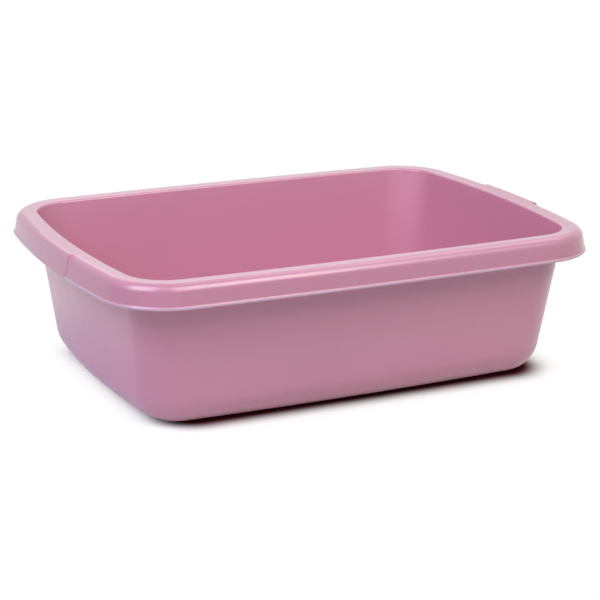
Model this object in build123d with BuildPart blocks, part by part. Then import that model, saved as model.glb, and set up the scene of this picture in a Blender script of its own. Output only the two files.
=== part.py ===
from build123d import *
import os

# Washing up bowl: one injection moulding with a turned-over rim and a grip at each short end.
# Lengths are in millimetres. +X runs along the bowl, +Y across it and +Z up.
# The origin is the middle of the base, on the surface that the bowl stands on.

# Opening, measured where the inside of the walls would meet the top if the edge were sharp
opening_length = 366.2
opening_width = 255.6
opening_end_bow = 10.0
opening_side_bow = 3.4
opening_corner_radius = 31.4
height = 115.8

# Base, measured where the outside of the walls would meet the floor if it had no rounded edge
base_length = 340.2
base_width = 230.0
base_end_bow = 9.1
base_side_bow = 5.2
base_corner_radius = 34.0
base_edge_radius = 25.5

# Walls, and the base's middle panel, which is raised to leave a foot all round
wall = 1.7
foot_width = 8.0
foot_height = 1.2
panel_corner_radius = 16.0
panel_step_run = 1.2

# Rim in cross-section, measured out from the opening's edge and down from the top
rim_reach = 18.8
rim_depth = 17.0
rim_wall = 1.8
rim_edge_radius = 2.0
rim_top_rise = 1.0
shoulder_out = 15.1
shoulder_radius = 7.5

# Bead along the rim's lower edge, which the rim's face flares out to meet
bead_height = 1.6
bead_overhang = 0.5
bead_round = 0.5
flare_height = 0.8
flare_radius = 1.0

# Grips: the rim's shoulder is squared up and pushed out in the middle of each short end
grip_length = 72.0
grip_shoulder_out = 15.6
grip_shoulder_radius = 3.8

# How far a cut runs past what it cuts
overrun = 3.0

# Largest rounding that an edge can take, as a share of the wall or corner that carries it
rounding_limit_share = 0.95
bead_limit_share = 0.45

rim_top_slope = rim_top_rise / shoulder_out
face_foot_out = rim_reach - bead_overhang
base_edge_rounding = min(base_edge_radius, base_corner_radius * rounding_limit_share)
inner_edge_band = rim_top_rise / 4
ring_length = opening_length + 2 * rim_reach + overrun
ring_height = 2 * (rim_depth + 2 * rim_wall + 2 * overrun)


def rounded_outline(length, width, end_bow, side_bow, corner_radius):
    """Face of a rounded rectangle whose four sides bow outwards"""
    end_x = length / 2
    side_y = width / 2
    corner_x = end_x - end_bow
    corner_y = side_y - side_bow
    with BuildSketch() as outline:
        with BuildLine():
            ThreePointArc((corner_x, -corner_y), (end_x, 0), (corner_x, corner_y))
            ThreePointArc((corner_x, corner_y), (0, side_y), (-corner_x, corner_y))
            ThreePointArc((-corner_x, corner_y), (-end_x, 0), (-corner_x, -corner_y))
            ThreePointArc((-corner_x, -corner_y), (0, -side_y), (corner_x, -corner_y))
        make_face()
        fillet(outline.vertices(), corner_radius)
    return outline.sketch


def tub_outline(level, inset):
    """Outline of the tub's outside at a level above the floor, drawn in by inset"""
    rise_share = level / height

    def between(low, high):
        return low + (high - low) * rise_share

    return rounded_outline(
        between(base_length, opening_length + 2 * wall) - 2 * inset,
        between(base_width, opening_width + 2 * wall) - 2 * inset,
        between(base_end_bow, opening_end_bow),
        between(base_side_bow, opening_side_bow),
        between(base_corner_radius, opening_corner_radius + wall) - inset,
    )


def panel_outline(margin):
    """Outline of the base's raised middle panel, grown by margin"""
    inset = base_edge_rounding + foot_width - margin
    return rounded_outline(
        base_length - 2 * inset,
        base_width - 2 * inset,
        base_end_bow,
        base_side_bow,
        panel_corner_radius + margin,
    )


def face_point(corner_out, foot_out, drop):
    """Point of the rim's steep face at a drop below the top"""
    corner_drop = -corner_out * rim_top_slope
    face_share = (drop - corner_drop) / (rim_depth - corner_drop)
    return (corner_out + (foot_out - corner_out) * face_share, drop)


def hook_section(corner_out, corner_radius, foot_out, back, depth, skin):
    """Section under the rim's top and behind its steep face, inside both by skin.

    Its X runs outwards from the opening's edge and its Y downwards from the top.
    """
    corner = (corner_out, -corner_out * rim_top_slope)
    with BuildSketch() as section:
        with BuildLine():
            Polyline(
                (-back, back * rim_top_slope),
                corner,
                face_point(corner_out, foot_out, depth),
                (-back, depth),
                close=True,
            )
        make_face()
        if skin > 0:
            offset(amount=-skin, kind=Kind.INTERSECTION)
        shoulder = section.vertices().sort_by_distance(corner)[0]
        fillet(shoulder, max(corner_radius - skin, skin / 2))
    return section.sketch


def hollow_section(corner_out, corner_radius, foot_out):
    """Section of the space under the rim, open downwards and towards the tub"""
    back = overrun + 2 * rim_wall
    depth = rim_depth + overrun + rim_wall
    return hook_section(corner_out, corner_radius, foot_out, back, depth, rim_wall)


def section_plane(line):
    """Plane across the start of a line, with X outwards and Y down"""
    return Plane(
        origin=line @ 0,
        x_dir=(line % 0).cross(Vector(0, 0, 1)),
        z_dir=line % 0,
    )


def rim_ring(section, grip_section, span):
    """Section swept round the opening, changed to the grip's for span at each short end"""
    with BuildPart() as grips:
        with BuildSketch(section_plane(end_line)):
            add(grip_section)
        sweep(path=end_line)
        with Locations((0, 0, height)):
            Box(ring_length, span, ring_height, mode=Mode.INTERSECT)
        mirror(about=Plane.YZ)
    with BuildPart() as ring:
        with BuildSketch(section_plane(rim_line)):
            add(section)
        sweep(path=rim_line)
        with Locations((0, 0, height)):
            Box(ring_length, span, ring_height, mode=Mode.SUBTRACT)
        add(grips.part)
    return ring.part


# Inner edge of the opening, which the rim's section follows, and its stretch at one short end
with BuildSketch(Plane.XY.offset(height)) as opening:
    add(tub_outline(height, wall))
rim_line = opening.sketch.face().outer_wire()
end_line = rim_line.edges().sort_by(Axis.X)[-1]

# Rim's section, with the flare and the bead at the foot of its face
bead_edge_round = min(bead_round, bead_height * bead_limit_share)
flare_start = face_point(shoulder_out, face_foot_out, rim_depth - bead_height - flare_height)
with BuildSketch() as beaded_section:
    add(hook_section(shoulder_out, shoulder_radius, face_foot_out, rim_wall, rim_depth, 0))
    with BuildLine():
        Polyline(
            flare_start,
            (rim_reach, rim_depth - bead_height),
            (rim_reach, rim_depth),
            (flare_start[0] - rim_wall, rim_depth),
            (flare_start[0] - rim_wall, flare_start[1]),
            close=True,
        )
    make_face()
    fillet(beaded_section.vertices().sort_by_distance(flare_start)[0], flare_radius)
    fillet(beaded_section.vertices().sort_by(Axis.X)[-2:], bead_edge_round)

# Grip's section, whose face runs down flush with the bead
with BuildSketch() as grip_section:
    add(hook_section(grip_shoulder_out, grip_shoulder_radius, rim_reach, rim_wall, rim_depth, 0))
    fillet(grip_section.vertices().sort_by_distance((rim_reach, rim_depth))[0], bead_edge_round)

rim_outside = rim_ring(beaded_section.sketch, grip_section.sketch, grip_length)
rim_hollow = rim_ring(
    hollow_section(shoulder_out, shoulder_radius, face_foot_out),
    hollow_section(grip_shoulder_out, grip_shoulder_radius, rim_reach),
    grip_length - 2 * rim_wall,
)

# Inside of the tub, with the raised panel standing on its floor
with BuildPart() as cavity:
    with BuildSketch(Plane.XY.offset(wall)):
        add(tub_outline(wall, wall))
    with BuildSketch(Plane.XY.offset(height)):
        add(tub_outline(height, wall))
    loft(ruled=True)
    fillet(cavity.faces().sort_by(Axis.Z)[0].edges(), base_edge_rounding - wall)
    with BuildSketch(Plane.XY.offset(wall)):
        add(panel_outline(wall))
    with BuildSketch(Plane.XY.offset(wall + foot_height)):
        add(panel_outline(wall - panel_step_run))
    loft(ruled=True, mode=Mode.SUBTRACT)

# The turned-over rim, and then the whole bowl, whose walls run up into the rim's top
with BuildPart() as rim:
    add(rim_outside)
    add(rim_hollow, mode=Mode.SUBTRACT)

with BuildPart() as bowl:
    with BuildSketch():
        add(tub_outline(0, 0))
    with BuildSketch(Plane.XY.offset(height - rim_wall / 2)):
        add(tub_outline(height - rim_wall / 2, 0))
    loft(ruled=True)
    fillet(bowl.faces().sort_by(Axis.Z)[0].edges(), base_edge_rounding)
    add(rim.part)
    add(cavity.part, mode=Mode.SUBTRACT)
    with BuildSketch():
        add(panel_outline(0))
    with BuildSketch(Plane.XY.offset(foot_height)):
        add(panel_outline(-panel_step_run))
    loft(ruled=True, mode=Mode.SUBTRACT)
    inner_edge = bowl.edges().filter_by(GeomType.CIRCLE).filter_by_position(
        Axis.Z, height - inner_edge_band, height + inner_edge_band
    )
    fillet(inner_edge, rim_edge_radius)

bowl.part.label = "bowl"

os.makedirs("parts", exist_ok=True)
export_step(bowl.part, "parts/bowl.step")
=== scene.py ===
import math

import bpy
from mathutils import Matrix, Vector


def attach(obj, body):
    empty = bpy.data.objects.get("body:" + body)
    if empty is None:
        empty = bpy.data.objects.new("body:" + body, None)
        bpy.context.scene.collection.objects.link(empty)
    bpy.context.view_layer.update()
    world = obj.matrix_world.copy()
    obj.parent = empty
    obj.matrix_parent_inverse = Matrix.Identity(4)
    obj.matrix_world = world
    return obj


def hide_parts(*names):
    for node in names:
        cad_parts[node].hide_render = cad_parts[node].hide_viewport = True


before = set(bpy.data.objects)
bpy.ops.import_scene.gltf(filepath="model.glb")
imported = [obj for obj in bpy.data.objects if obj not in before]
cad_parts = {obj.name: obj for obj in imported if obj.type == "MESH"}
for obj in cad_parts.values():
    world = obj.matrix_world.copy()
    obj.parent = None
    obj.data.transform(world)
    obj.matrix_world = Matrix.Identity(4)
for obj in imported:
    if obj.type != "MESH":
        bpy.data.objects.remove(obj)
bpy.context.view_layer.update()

# Camera, fitted to the outlines in the photograph. Lengths are in metres and angles in degrees.
VIEW_AZIMUTH = -25.94
VIEW_ELEVATION = 16.48
VIEW_ROLL = 0.40
VIEW_DISTANCE = 1.4504
VIEW_RIGHT = 0.00398
VIEW_UP = 0.04691
LENS_MM = 109.5
SENSOR_MM = 36.0

# Opening, where the inside of the walls would meet the top if the edge were sharp
OPENING_LENGTH = 0.3662
OPENING_WIDTH = 0.2556
OPENING_END_BOW = 0.0100
OPENING_SIDE_BOW = 0.0034
OPENING_CORNER_RADIUS = 0.0314
HEIGHT = 0.1158

# Base, where the outside of the walls would meet the floor if its edge were sharp
BASE_LENGTH = 0.3402
BASE_WIDTH = 0.2300
BASE_END_BOW = 0.0091
BASE_SIDE_BOW = 0.0052
BASE_CORNER_RADIUS = 0.0340
BASE_EDGE_RADIUS = 0.0255

# Walls, and the base's middle panel, which is raised to leave a foot all round
WALL = 0.0017
FOOT_WIDTH = 0.0080
FOOT_HEIGHT = 0.0012
PANEL_CORNER_RADIUS = 0.0160
PANEL_STEP_RUN = 0.0012
PANEL_STEP_ROUND = 0.0007
PANEL_BORDER = 0.0040

# Rim in cross-section, measured out from the opening's edge and down from the top
RIM_REACH = 0.0188
RIM_DEPTH = 0.0170
RIM_WALL = 0.0018
RIM_EDGE_RADIUS = 0.0020
RIM_TOP_RISE = 0.0010
SHOULDER_OUT = 0.0151
SHOULDER_RADIUS = 0.0075
BEAD_HEIGHT = 0.0016
BEAD_OVERHANG = 0.0005
BEAD_ROUND = 0.0005
FLARE_HEIGHT = 0.0008
FLARE_RADIUS = 0.0010
FOOT_ROUND = 0.0003
JOIN_RADIUS = 0.0006

# Grips in the middle of the short ends, the width over which they step out of the rim, and how far
# across an end the rim's columns run straight out
GRIP_LENGTH = 0.0720
GRIP_SHOULDER_OUT = 0.0156
GRIP_SHOULDER_RADIUS = 0.0038
GRIP_STEP = 0.0007
STRAIGHT_TO = 0.0370

# Mesh: steps along each part of a quarter of the outline and across a grip's step, the least reach
# of a rounded corner, and how much more large faces count in the shading
GRIP_STEPS = 6
END_STEPS = 10
CORNER_STEPS = 20
SIDE_STEPS = 24
STEP_SHARES = (0.0, 0.17, 0.33, 0.5, 0.67, 0.83, 1.0)
LEAST_SPREAD = 0.0002
LARGE_FACE_WEIGHT = 50

# Places in a section's corners: the opening's inner edge, the shoulder, the bead's upper corner,
# and the first one behind the rim's outside
EDGE_CORNER = 5
SHOULDER_CORNER = 6
BEAD_CORNER = 8
OUTER_CORNERS = 10

# Floor: its shade where it is seen and where it lights the bowl, and the strength of pure white
FLOOR_SIZE = 12.0
FLOOR_SEEN = 1.0
FLOOR_LIT = 0.60
WHITE = 1.0

# Rectangle on the floor under the bowl: its shift along X, half its size and its corners' radius
UNDER_SHIFT = 0.008
UNDER_HALF = (0.1395, 0.092)
UNDER_ROUND = 0.011

# Painted shade: the dark colour laid on the floor next to the base, and the distances from that
# rectangle over which it fades out; then the distances over which the shadow and its mirror
# image end
FLOOR_PAINTED_SHADE_COLOUR = (0.080, 0.014, 0.018)
PAINTED_SHADE_FROM = 0.010
PAINTED_SHADE_TO = 0.036
SHADOW_FULL_TO = 0.010
SHADOW_GONE_AT = 0.045
MIRROR_WHITE_AT = 0.200

# Plastic: the colour of the walls, the rim's darker colour laid on as painted shade, the paler
# colour laid on the bead as a painted highlight, the share of it that the rim's top takes as
# painted sheen, and the spread and size of the flow shades
WALL_COLOUR = (0.560, 0.239, 0.332)
RIM_PAINTED_SHADE_COLOUR = (0.465, 0.190, 0.270)
PAINTED_HIGHLIGHT_COLOUR = (0.520, 0.330, 0.420)
TOP_PAINTED_SHEEN = 0.15
FLOW_SPREAD = 0.015
FLOW_SCALE = 14.0
FLOW_DETAIL = 3.0

# Gloss of the plastic: its skin, its roughness on the rim, on the walls and where it stands, and
# the spread and size of its smears
PLASTIC_IOR = 1.55
SKIN_WEIGHT = 0.4
SKIN_ROUGHNESS = 0.2
RIM_ROUGHNESS = 0.22
WALL_ROUGHNESS = 0.32
SCUFF_ROUGHNESS = 0.15
SCUFF_TO = 0.002
ROUGHNESS_SPREAD = 0.025
SMEAR_SCALE = 60.0
SMEAR_DETAIL = 4.0

# Fine relief of the plastic: slow ripples and orange peel, and the range that noise mostly fills
RIPPLE_SCALE = 30.0
RIPPLE_DETAIL = 2.0
RIPPLE_HEIGHT = 0.0001
PEEL_SCALE = 900.0
PEEL_DETAIL = 3.0
PEEL_HEIGHT = 0.000006
NOISE_LOW = 0.3
NOISE_HIGH = 0.7

# Softboxes: azimuth and elevation seen from the bowl, distance, side of the square, radiant power
# and colour
COOL_LIGHT = (0.78, 0.76, 1.00)
PLAIN_LIGHT = (1.00, 0.98, 0.92)
SOFTBOXES = {
    "left_high": (-70, 50, 1.6, 1.0, 14.2, COOL_LIGHT),
    "left": (-78, 38, 1.6, 0.8, 4.6, COOL_LIGHT),
    "front": (10, 50, 1.6, 1.0, 12.1, PLAIN_LIGHT),
    "right": (34, 48, 1.6, 0.7, 3.0, PLAIN_LIGHT),
    "back_right": (105, 58, 1.6, 0.8, 3.0, PLAIN_LIGHT),
    "back": (165, 40, 1.6, 1.0, 2.5, PLAIN_LIGHT),
}
WORLD_STRENGTH = 0.2

RIM_TOP_SLOPE = RIM_TOP_RISE / SHOULDER_OUT
FACE_FOOT_OUT = RIM_REACH - BEAD_OVERHANG


def ease(share):
    """Smooth step from 0 to 1"""
    share = min(max(share, 0.0), 1.0)
    return share * share * (3 - 2 * share)


def between(low, high, share):
    """Value a share of the way from low to high"""
    return low + (high - low) * share


def circles_meet(first, first_radius, second, second_radius):
    """Meeting point of two circles that lies furthest along +X and +Y"""
    gap_x = second[0] - first[0]
    gap_y = second[1] - first[1]
    gap = math.hypot(gap_x, gap_y)
    along = (first_radius**2 - second_radius**2 + gap**2) / (2 * gap)
    aside = math.sqrt(first_radius**2 - along**2)
    foot_x = first[0] + along * gap_x / gap
    foot_y = first[1] + along * gap_y / gap
    step_x = aside * gap_y / gap
    step_y = aside * gap_x / gap
    return max((foot_x + step_x, foot_y - step_y), (foot_x - step_x, foot_y + step_y), key=sum)


def outline(length, width, end_bow, side_bow, corner_radius):
    """Arcs of a quarter of a rounded rectangle with bowed sides: (x, y, radius, start, end)"""
    corner_x = length / 2 - end_bow
    corner_y = width / 2 - side_bow
    end_radius = (corner_y**2 + end_bow**2) / (2 * end_bow)
    side_radius = (corner_x**2 + side_bow**2) / (2 * side_bow)
    end_x = length / 2 - end_radius
    side_y = width / 2 - side_radius
    x, y = circles_meet(
        (end_x, 0), end_radius - corner_radius, (0, side_y), side_radius - corner_radius
    )
    end_turn = math.atan2(y, x - end_x)
    side_turn = math.atan2(y - side_y, x)
    return (
        (end_x, 0, end_radius, 0, end_turn),
        (x, y, corner_radius, end_turn, side_turn),
        (0, side_y, side_radius, side_turn, math.pi / 2),
    )


def tub_outline(level, inset):
    """Outline of the tub's outside at a level above the floor, drawn in by inset"""
    share = level / HEIGHT
    return outline(
        between(BASE_LENGTH, OPENING_LENGTH + 2 * WALL, share) - 2 * inset,
        between(BASE_WIDTH, OPENING_WIDTH + 2 * WALL, share) - 2 * inset,
        between(BASE_END_BOW, OPENING_END_BOW, share),
        between(BASE_SIDE_BOW, OPENING_SIDE_BOW, share),
        between(BASE_CORNER_RADIUS, OPENING_CORNER_RADIUS + WALL, share) - inset,
    )


def panel_outline(margin):
    """Outline of the base's raised middle panel, grown by margin"""
    inset = BASE_EDGE_RADIUS + FOOT_WIDTH - margin
    return outline(
        BASE_LENGTH - 2 * inset,
        BASE_WIDTH - 2 * inset,
        BASE_END_BOW,
        BASE_SIDE_BOW,
        PANEL_CORNER_RADIUS + margin,
    )


def end_places(end_reach):
    """Distances across from the middle of an end, close together where the grip's skins step"""
    inner = GRIP_LENGTH / 2 - RIM_WALL
    outer = GRIP_LENGTH / 2
    places = [inner * step / GRIP_STEPS for step in range(GRIP_STEPS)]
    for middle in (inner, outer):
        places += [middle + (share - 0.5) * GRIP_STEP for share in STEP_SHARES]
    last = places[-1]
    for step in range(1, END_STEPS):
        places.append(between(last, end_reach, ease(step / END_STEPS / 2) * 2))
    return places


def quarter_columns():
    """Places round a quarter of every outline, from an end's middle to a side's: (arc, share)"""
    _, _, radius, _, end_turn = tub_outline(HEIGHT, WALL)[0]
    end_reach = radius * math.sin(end_turn)
    columns = [(0, math.asin(place / radius) / end_turn) for place in end_places(end_reach)]
    columns += [(1, step / CORNER_STEPS) for step in range(CORNER_STEPS)]
    columns += [(2, step / SIDE_STEPS) for step in range(SIDE_STEPS + 1)]
    return columns


def all_columns():
    """Places round a whole outline, anticlockwise from +X: (X sign, Y sign, arc, share)"""
    quarter = quarter_columns()
    forwards = quarter[:-1]
    backwards = quarter[:0:-1]
    quarters = ((1, 1, forwards), (-1, 1, backwards), (-1, -1, forwards), (1, -1, backwards))
    return [(sign_x, sign_y, *place) for sign_x, sign_y, places in quarters for place in places]


def place(arcs, column, level, out=0.0):
    """Point of an outline in a column, moved outwards by out"""
    sign_x, sign_y, arc, share = column
    x, y, radius, start, end = arcs[arc]
    turn = between(start, end, share)
    along = x + (radius + out) * math.cos(turn)
    across = y + (radius + out) * math.sin(turn)
    return Vector((sign_x * along, sign_y * across, level))


def rim_place(arcs, column, out, drop):
    """Point of the rim in a column, where the grips' columns keep straight out along X"""
    sign_x, sign_y, arc, share = column
    x, y, radius, start, end = arcs[arc]
    turn = between(start, end, share)
    across = y + radius * math.sin(turn)
    drift = out * math.sin(turn)
    if arc == 0:
        reach = radius * math.sin(end)
        drift *= ease((across - STRAIGHT_TO) / (reach - STRAIGHT_TO))
        along = x + math.sqrt((radius + out)**2 - (across + drift)**2)
    else:
        along = x + (radius + out) * math.cos(turn)
    return Vector((sign_x * along, sign_y * (across + drift), HEIGHT - drop))


def face_point(shoulder_out, foot_out, drop):
    """Point of the rim's steep face, (out, drop)"""
    shoulder_drop = -shoulder_out * RIM_TOP_SLOPE
    share = (drop - shoulder_drop) / (RIM_DEPTH - shoulder_drop)
    return between(shoulder_out, foot_out, share), drop


def under_top(out):
    """Drop of the underside of the rim's top"""
    return RIM_WALL * math.hypot(1, RIM_TOP_SLOPE) - out * RIM_TOP_SLOPE


def behind_face(shoulder_out, foot_out):
    """Inside corners of the rim's hollow, at the face's foot and under the shoulder"""
    shoulder_drop = -shoulder_out * RIM_TOP_SLOPE
    lean = (foot_out - shoulder_out) / (RIM_DEPTH - shoulder_drop)
    back = RIM_WALL * math.hypot(1, lean)
    top = RIM_WALL * math.hypot(1, RIM_TOP_SLOPE)
    corner_out = (shoulder_out - back + lean * (top - shoulder_drop)) / (1 + lean * RIM_TOP_SLOPE)
    return (foot_out - back, RIM_DEPTH), (corner_out, under_top(corner_out))


def rim_chain():
    """Corners of the rim's two skins away from the grips: (out, drop, radius, steps, run)"""
    foot, hollow = behind_face(SHOULDER_OUT, FACE_FOOT_OUT)
    flare = face_point(SHOULDER_OUT, FACE_FOOT_OUT, RIM_DEPTH - BEAD_HEIGHT - FLARE_HEIGHT)
    outer = [
        (SHOULDER_OUT, -RIM_TOP_RISE, SHOULDER_RADIUS, 14, 3),
        (*flare, FLARE_RADIUS, 5, 3),
        (RIM_REACH, RIM_DEPTH - BEAD_HEIGHT, BEAD_ROUND, 4, 1),
        (RIM_REACH, RIM_DEPTH, BEAD_ROUND, 5, 1),
    ]
    inner = [
        (*foot, FOOT_ROUND, 3, 1),
        (*hollow, SHOULDER_RADIUS - RIM_WALL, 10, 2),
    ]
    return outer, inner


def grip_chain():
    """Corners of the rim's two skins at a grip, one for each of the rim's"""
    foot, hollow = behind_face(GRIP_SHOULDER_OUT, RIM_REACH)
    flare = face_point(GRIP_SHOULDER_OUT, RIM_REACH, RIM_DEPTH - BEAD_HEIGHT - FLARE_HEIGHT)
    bead = face_point(GRIP_SHOULDER_OUT, RIM_REACH, RIM_DEPTH - BEAD_HEIGHT)
    outer = [
        (GRIP_SHOULDER_OUT, -GRIP_SHOULDER_OUT * RIM_TOP_SLOPE, GRIP_SHOULDER_RADIUS, 14, 3),
        (*flare, 0, 5, 3),
        (*bead, 0, 4, 1),
        (RIM_REACH, RIM_DEPTH, BEAD_ROUND, 5, 1),
    ]
    inner = [
        (*foot, FOOT_ROUND, 3, 1),
        (*hollow, GRIP_SHOULDER_RADIUS - RIM_WALL, 10, 2),
    ]
    return outer, inner


def rounded(corners):
    """Points along a chain whose inner corners are rounded: each (point, radius, steps, run).

    A corner's run is the number of steps on the straight before it.
    """
    points = [corners[0][0]]
    for before, corner, after in zip(corners, corners[1:], corners[2:]):
        point, radius, steps, run = corner
        inwards = (point - before[0]).normalized()
        outwards = (after[0] - point).normalized()
        turn = inwards.angle(outwards, 0.0)
        spread = max(radius * math.tan(turn / 2), LEAST_SPREAD) if steps else 0.0
        weight = math.cos(turn / 2)
        start = point - inwards * spread
        end = point + outwards * spread
        last = points[-1]
        points += [last.lerp(start, step / run) for step in range(1, run)]
        for step in range(steps + 1):
            share = step / max(steps, 1)
            first = (1 - share)**2
            middle = 2 * share * (1 - share) * weight
            third = share**2
            total = first + middle + third
            points.append((start * first + point * middle + end * third) / total)
    point, _, _, run = corners[-1]
    last = points[-1]
    points += [last.lerp(point, step / run) for step in range(1, run + 1)]
    return points


def shell_corners(column, rim):
    """Corners of a column's section, from the floor's panel round the rim to the one below"""
    outer, inner = rim
    opening = tub_outline(HEIGHT, WALL)
    floor = tub_outline(WALL, WALL)
    base = tub_outline(0, 0)
    panel_level = WALL + FOOT_HEIGHT
    wall_foot = place(base, column, 0)
    wall_top = place(tub_outline(HEIGHT, 0), column, HEIGHT)
    corners = [
        (place(panel_outline(WALL - PANEL_BORDER), column, panel_level), 0, 0, 0),
        (place(panel_outline(WALL - PANEL_STEP_RUN), column, panel_level), PANEL_STEP_ROUND, 3, 1),
        (place(panel_outline(WALL), column, WALL), PANEL_STEP_ROUND, 3, 1),
        (place(floor, column, WALL, WALL - BASE_EDGE_RADIUS), 0, 0, 2),
        (place(floor, column, WALL), BASE_EDGE_RADIUS - WALL, 14, 1),
        (place(opening, column, HEIGHT), RIM_EDGE_RADIUS, 8, 12),
    ]
    for out, drop, radius, steps, run in outer + inner:
        corners.append((rim_place(opening, column, out, drop), radius, steps, run))
    join = wall_top.lerp(wall_foot, under_top(WALL) / HEIGHT)
    corners += [
        (join, JOIN_RADIUS, 3, 3),
        (wall_foot, BASE_EDGE_RADIUS, 14, 12),
        (place(base, column, 0, -BASE_EDGE_RADIUS), 0, 0, 1),
        (place(panel_outline(0), column, 0), PANEL_STEP_ROUND, 3, 2),
        (place(panel_outline(-PANEL_STEP_RUN), column, FOOT_HEIGHT), PANEL_STEP_ROUND, 3, 1),
        (place(panel_outline(-PANEL_BORDER), column, FOOT_HEIGHT), 0, 0, 1),
    ]
    return corners


def grip_share(column, edge):
    """How far a column is a grip's: 1 inside the grip, 0 beyond edge, easing across the step"""
    _, _, arc, share = column
    if arc > 0:
        return 0.0
    _, _, radius, _, end_turn = tub_outline(HEIGHT, WALL)[0]
    across = radius * math.sin(share * end_turn)
    return ease((edge - across) / GRIP_STEP + 0.5)


def rows_before(corners, count):
    """Number of points in a section before the last one that a chain's first corners give"""
    return sum(steps + run for _, _, steps, run in corners[1:count])


def past_corner(corners, corner, row):
    """How far a section's row has gone round a corner: 0 before it and 1 after it"""
    _, _, steps, run = corners[corner]
    return ease((row - rows_before(corners, corner) - run) / steps)


def row_shares():
    """How far the rows of a section are polished and darkened as painted shade, and how far they
    carry a painted highlight: two lists of shares
    """
    corners = shell_corners(all_columns()[0], rim_chain())
    bead = rows_before(corners, BEAD_CORNER) + 1
    end = rows_before(corners, OUTER_CORNERS)
    polish_and_shade = []
    painted_highlight = []
    for row in range(len(rounded(corners))):
        on_rim = past_corner(corners, EDGE_CORNER, row)
        on_top = on_rim * (1 - past_corner(corners, SHOULDER_CORNER, row))
        # share on the rim: polished, and darkened there as painted shade
        polish_and_shade.append(on_rim if row <= end else 0.0)
        # painted highlight: all of it on the bead, a part on the rim's top as painted sheen
        painted_highlight.append(1.0 if bead <= row <= end else TOP_PAINTED_SHEEN * on_top)
    return polish_and_shade, painted_highlight


def shell_section(column):
    """Points of one column's section"""
    corners = shell_corners(column, rim_chain())
    points = rounded(corners)
    outer_share = grip_share(column, GRIP_LENGTH / 2)
    inner_share = grip_share(column, GRIP_LENGTH / 2 - RIM_WALL)
    if max(outer_share, inner_share) == 0:
        return points
    grip_points = rounded(shell_corners(column, grip_chain()))
    outer_rows = 1 + rows_before(corners, OUTER_CORNERS)
    shares = [outer_share] * outer_rows + [inner_share] * (len(points) - outer_rows)
    return [
        plain.lerp(gripped, share) for plain, gripped, share in zip(points, grip_points, shares)
    ]


def paint(mesh, name, shares):
    """Give every point of a mesh a share, which the plastic reads by name"""
    attribute = mesh.attributes.new(name, "FLOAT", "POINT")
    attribute.data.foreach_set("value", shares)


def make_shell():
    """The bowl as one closed skin: quads column by column, and a flat face on each panel"""
    sections = [shell_section(column) for column in all_columns()]
    columns = len(sections)
    rows = len(sections[0])
    points = [point for section in sections for point in section]

    def index(column, row):
        return (column % columns) * rows + row

    faces = [
        (
            index(column, row),
            index(column, row + 1),
            index(column + 1, row + 1),
            index(column + 1, row),
        )
        for column in range(columns)
        for row in range(rows - 1)
    ]
    faces.append([index(column, 0) for column in range(columns)])
    faces.append([index(column, rows - 1) for column in reversed(range(columns))])
    mesh = bpy.data.meshes.new("bowl_shell")
    mesh.from_pydata(points, [], faces)
    mesh.validate()
    mesh.polygons.foreach_set("use_smooth", [True] * len(mesh.polygons))
    polish_and_shade, painted_highlight = row_shares()
    beaded = [1 - grip_share(column, GRIP_LENGTH / 2) for column in all_columns()]
    # the rim's share (polish, and a darker colour as painted shade) and the painted highlight's
    # share, by point; no painted highlight on the grips
    paint(mesh, "polish_and_shade", polish_and_shade * columns)
    paint(mesh, "painted_highlight", [share * part for part in beaded for share in painted_highlight])
    shell = bpy.data.objects.new("bowl_shell", mesh)
    bpy.context.scene.collection.objects.link(shell)
    smooth = shell.modifiers.new("weighted_normals", "WEIGHTED_NORMAL")
    smooth.weight = LARGE_FACE_WEIGHT
    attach(shell, "root")
    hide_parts("bowl")
    return shell


def direction(azimuth, elevation):
    """Unit vector towards a place round the bowl; azimuth 0 is in front, at -Y, and 90 at +X"""
    turn = math.radians(azimuth)
    lift = math.radians(elevation)
    return Vector((
        math.sin(turn) * math.cos(lift),
        -math.cos(turn) * math.cos(lift),
        math.sin(lift),
    ))


def make_camera():
    """Camera at the photograph's viewing angle"""
    data = bpy.data.cameras.new("camera")
    data.sensor_width = SENSOR_MM
    data.lens = LENS_MM
    camera = bpy.data.objects.new("camera", data)
    turn = (
        Matrix.Rotation(math.radians(VIEW_AZIMUTH), 3, "Z")
        @ Matrix.Rotation(math.radians(90 - VIEW_ELEVATION), 3, "X")
        @ Matrix.Rotation(math.radians(VIEW_ROLL), 3, "Z")
    )
    place = turn @ Vector((VIEW_RIGHT, VIEW_UP, VIEW_DISTANCE))
    camera.matrix_world = Matrix.Translation(place) @ turn.to_4x4()
    bpy.context.scene.collection.objects.link(camera)
    bpy.context.scene.camera = camera


def make_softbox(name, azimuth, elevation, distance, side, power, colour):
    """Square area lamp that faces the bowl"""
    data = bpy.data.lights.new(name, "AREA")
    data.size = side
    data.energy = power
    data.color = colour
    lamp = bpy.data.objects.new(name, data)
    towards = direction(azimuth, elevation)
    lamp.rotation_mode = "QUATERNION"
    lamp.rotation_quaternion = towards.to_track_quat("Z", "Y")
    lamp.location = towards * distance
    bpy.context.scene.collection.objects.link(lamp)


def seen_directly(nodes, links):
    """Socket that is 1 for rays that show a surface itself: camera, mirror and see-through rays"""
    path = nodes.new("ShaderNodeLightPath")
    total = path.outputs["Is Camera Ray"]
    for name in ("Is Glossy Ray", "Is Transmission Ray"):
        larger = nodes.new("ShaderNodeMath")
        larger.operation = "MAXIMUM"
        links.new(total, larger.inputs[0])
        links.new(path.outputs[name], larger.inputs[1])
        total = larger.outputs[0]
    return total


def mixed(nodes, links, share, first, second):
    """Shader that goes from the first to the second as a share rises"""
    mix = nodes.new("ShaderNodeMixShader")
    links.new(share, mix.inputs["Fac"])
    links.new(first.outputs[0], mix.inputs[1])
    links.new(second.outputs[0], mix.inputs[2])
    return mix


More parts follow.
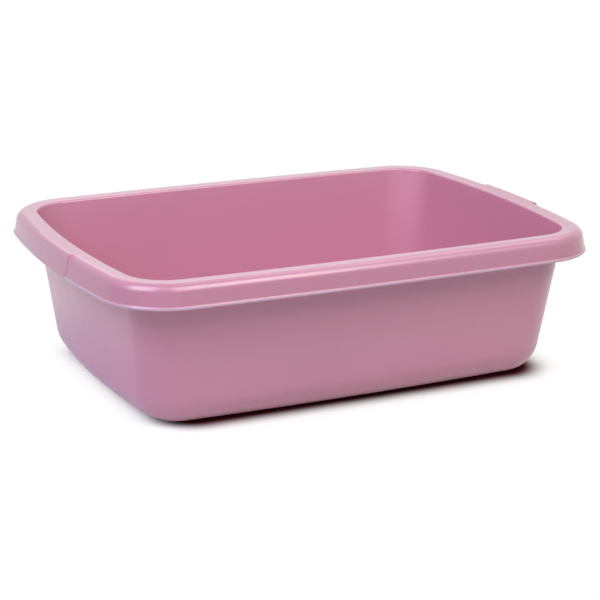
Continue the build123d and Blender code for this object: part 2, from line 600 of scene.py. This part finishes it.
def white(nodes, kind, strength):
    """Shader of a kind that shines white at a strength"""
    shader = nodes.new(kind)
    shader.inputs["Color"].default_value = (1, 1, 1, 1)
    shader.inputs["Strength"].default_value = strength
    return shader


def matt(nodes, colour):
    """Matt shader of a colour"""
    shader = nodes.new("ShaderNodeBsdfDiffuse")
    shader.inputs["Color"].default_value = (*colour, 1)
    return shader


def make_world():
    """Plain white surroundings, shown as pure white"""
    world = bpy.data.worlds.new("studio")
    world.use_nodes = True
    nodes = world.node_tree.nodes
    links = world.node_tree.links
    nodes.clear()
    light = white(nodes, "ShaderNodeBackground", WORLD_STRENGTH)
    shown = white(nodes, "ShaderNodeBackground", WHITE)
    mix = mixed(nodes, links, seen_directly(nodes, links), light, shown)
    out = nodes.new("ShaderNodeOutputWorld")
    links.new(mix.outputs[0], out.inputs["Surface"])
    bpy.context.scene.world = world


def noise(nodes, links, coordinates, scale, detail, low, high):
    """Socket with smooth noise over the surface, from low to high; scale is in waves per metre"""
    texture = nodes.new("ShaderNodeTexNoise")
    texture.inputs["Scale"].default_value = scale
    texture.inputs["Detail"].default_value = detail
    links.new(coordinates, texture.inputs["Vector"])
    spread = nodes.new("ShaderNodeMapRange")
    spread.inputs["From Min"].default_value = NOISE_LOW
    spread.inputs["From Max"].default_value = NOISE_HIGH
    spread.inputs["To Min"].default_value = low
    spread.inputs["To Max"].default_value = high
    links.new(texture.outputs["Fac"], spread.inputs["Value"])
    return spread.outputs["Result"]


def maths(nodes, links, operation, *values):
    """Socket with the result of an operation on values, each a socket or a number"""
    result = nodes.new("ShaderNodeMath")
    result.operation = operation
    for value, socket in zip(values, result.inputs):
        if isinstance(value, float):
            socket.default_value = value
        else:
            links.new(value, socket)
    return result.outputs[0]


def step_up(nodes, links, value, low, high):
    """Socket that rises smoothly from 0 at low to 1 at high"""
    step = nodes.new("ShaderNodeMapRange")
    step.interpolation_type = "SMOOTHSTEP"
    step.inputs["From Min"].default_value = low
    step.inputs["From Max"].default_value = high
    links.new(value, step.inputs["Value"])
    return step.outputs["Result"]


def distance_from_base(nodes, links):
    """Socket with the distance on the floor from the rounded rectangle under the bowl"""

    def on_vector(operation, socket, value=None):
        step = nodes.new("ShaderNodeVectorMath")
        step.operation = operation
        links.new(socket, step.inputs[0])
        if value:
            step.inputs[1].default_value = value
        return step

    half_x, half_y = UNDER_HALF
    place = nodes.new("ShaderNodeTexCoord").outputs["Object"]
    moved = on_vector("SUBTRACT", place, (UNDER_SHIFT, 0, 0))
    folded = on_vector("ABSOLUTE", moved.outputs[0])
    inner = (half_x - UNDER_ROUND, half_y - UNDER_ROUND, 0)
    beyond = on_vector("SUBTRACT", folded.outputs[0], inner)
    outside = on_vector("MAXIMUM", beyond.outputs[0], (0, 0, 0))
    distance = on_vector("LENGTH", outside.outputs[0])
    return maths(nodes, links, "SUBTRACT", distance.outputs["Value"], UNDER_ROUND)


def floor_material():
    """White floor that keeps the bowl's shadow, with painted shade by the base, and is plain white
    further off
    """
    material = bpy.data.materials.new("floor")
    material.use_nodes = True
    nodes = material.node_tree.nodes
    links = material.node_tree.links
    nodes.clear()
    pure = white(nodes, "ShaderNodeEmission", WHITE)
    plain = matt(nodes, (FLOOR_SEEN,) * 3)
    # painted shade: a dark colour laid on the floor next to the base's edge, seen by the camera
    # only
    under = matt(nodes, FLOOR_PAINTED_SHADE_COLOUR)
    lit = matt(nodes, (FLOOR_LIT,) * 3)

    distance = distance_from_base(nodes, links)
    # the painted shade fades out with distance from the base, then the shadow fades into pure
    # white
    clear = step_up(nodes, links, distance, PAINTED_SHADE_FROM, PAINTED_SHADE_TO)
    shaded = mixed(nodes, links, clear, under, plain)
    shadow_end = step_up(nodes, links, distance, SHADOW_FULL_TO, SHADOW_GONE_AT)
    seen = mixed(nodes, links, shadow_end, shaded, pure)
    mirror_end = step_up(nodes, links, distance, SHADOW_GONE_AT, MIRROR_WHITE_AT)
    mirrored = mixed(nodes, links, mirror_end, plain, pure)

    by_camera = nodes.new("ShaderNodeLightPath").outputs["Is Camera Ray"]
    shown = mixed(nodes, links, by_camera, mirrored, seen)
    final = mixed(nodes, links, seen_directly(nodes, links), lit, shown)
    out = nodes.new("ShaderNodeOutputMaterial")
    links.new(final.outputs[0], out.inputs["Surface"])
    return material


def make_floor():
    """Floor that the bowl stands on"""
    half = FLOOR_SIZE / 2
    corners = [(-half, -half, 0), (half, -half, 0), (half, half, 0), (-half, half, 0)]
    mesh = bpy.data.meshes.new("floor")
    mesh.from_pydata(corners, [], [(0, 1, 2, 3)])
    mesh.materials.append(floor_material())
    floor = bpy.data.objects.new("floor", mesh)
    bpy.context.scene.collection.objects.link(floor)


def bump(nodes, links, height, distance, normal=None):
    """Socket with the surface's direction, roughened by a height"""
    relief = nodes.new("ShaderNodeBump")
    relief.inputs["Strength"].default_value = 1.0
    relief.inputs["Distance"].default_value = distance
    links.new(height, relief.inputs["Height"])
    if normal:
        links.new(normal, relief.inputs["Normal"])
    return relief.outputs["Normal"]


def painted(nodes, name):
    """Socket with the share that a mesh's points were given by name"""
    attribute = nodes.new("ShaderNodeAttribute")
    attribute.attribute_name = name
    return attribute.outputs["Fac"]


def plastic_colour(nodes, links, places, polish_and_shade):
    """Socket with the plastic's colour: walls, the rim darker as painted shade, a paler painted
    highlight on the bead and painted sheen on the rim's top, with slight flow shades
    """
    # painted shade: the rim is given a darker colour than the walls
    toned = nodes.new("ShaderNodeMix")
    toned.data_type = "RGBA"
    toned.inputs["A"].default_value = (*WALL_COLOUR, 1)
    toned.inputs["B"].default_value = (*RIM_PAINTED_SHADE_COLOUR, 1)
    links.new(polish_and_shade, toned.inputs["Factor"])
    # painted highlight: a paler colour on the bead, and in part on the rim's top as painted sheen
    highlighted = nodes.new("ShaderNodeMix")
    highlighted.data_type = "RGBA"
    highlighted.inputs["B"].default_value = (*PAINTED_HIGHLIGHT_COLOUR, 1)
    links.new(painted(nodes, "painted_highlight"), highlighted.inputs["Factor"])
    links.new(toned.outputs["Result"], highlighted.inputs["A"])
    low, high = 1.0 - FLOW_SPREAD, 1.0 + FLOW_SPREAD
    flow = noise(nodes, links, places, FLOW_SCALE, FLOW_DETAIL, low, high)
    shaded = nodes.new("ShaderNodeVectorMath")
    shaded.operation = "SCALE"
    links.new(highlighted.outputs["Result"], shaded.inputs[0])
    links.new(flow, shaded.inputs["Scale"])
    return shaded.outputs[0]


def plastic_roughness(nodes, links, places, polish_and_shade):
    """Socket with the plastic's roughness: polished rim, satin walls, scuffs where it stands"""
    split = nodes.new("ShaderNodeSeparateXYZ")
    links.new(places, split.inputs[0])
    worn = step_up(nodes, links, split.outputs["Z"], SCUFF_TO, 0.0)
    scuffed = maths(nodes, links, "MULTIPLY", worn, SCUFF_ROUGHNESS)
    polished = RIM_ROUGHNESS - WALL_ROUGHNESS
    satin = maths(nodes, links, "MULTIPLY_ADD", polish_and_shade, polished, WALL_ROUGHNESS)
    low, high = -ROUGHNESS_SPREAD, ROUGHNESS_SPREAD
    varied = noise(nodes, links, places, SMEAR_SCALE, SMEAR_DETAIL, low, high)
    total = maths(nodes, links, "ADD", satin, scuffed)
    return maths(nodes, links, "ADD", total, varied)


def plastic_material():
    """Pink moulded plastic with flow shades, painted shade and highlights on the rim, its gloss
    and a fine orange peel
    """
    material = bpy.data.materials.new("bowl_plastic")
    material.use_nodes = True
    nodes = material.node_tree.nodes
    links = material.node_tree.links
    shader = nodes["Principled BSDF"]
    shader.inputs["IOR"].default_value = PLASTIC_IOR
    shader.inputs["Coat Weight"].default_value = SKIN_WEIGHT
    shader.inputs["Coat Roughness"].default_value = SKIN_ROUGHNESS

    places = nodes.new("ShaderNodeTexCoord").outputs["Object"]
    polish_and_shade = painted(nodes, "polish_and_shade")
    links.new(plastic_colour(nodes, links, places, polish_and_shade), shader.inputs["Base Color"])
    links.new(plastic_roughness(nodes, links, places, polish_and_shade), shader.inputs["Roughness"])

    ripple = noise(nodes, links, places, RIPPLE_SCALE, RIPPLE_DETAIL, 0.0, 1.0)
    peel = noise(nodes, links, places, PEEL_SCALE, PEEL_DETAIL, 0.0, 1.0)
    rippled = bump(nodes, links, ripple, RIPPLE_HEIGHT)
    relief = bump(nodes, links, peel, PEEL_HEIGHT, rippled)
    links.new(relief, shader.inputs["Normal"])
    links.new(relief, shader.inputs["Coat Normal"])
    return material


bpy.context.scene.view_settings.view_transform = "Standard"
make_camera()
make_world()
for name, values in SOFTBOXES.items():
    make_softbox(name, *values)
make_floor()
shell = make_shell()
shell.data.materials.append(plastic_material())
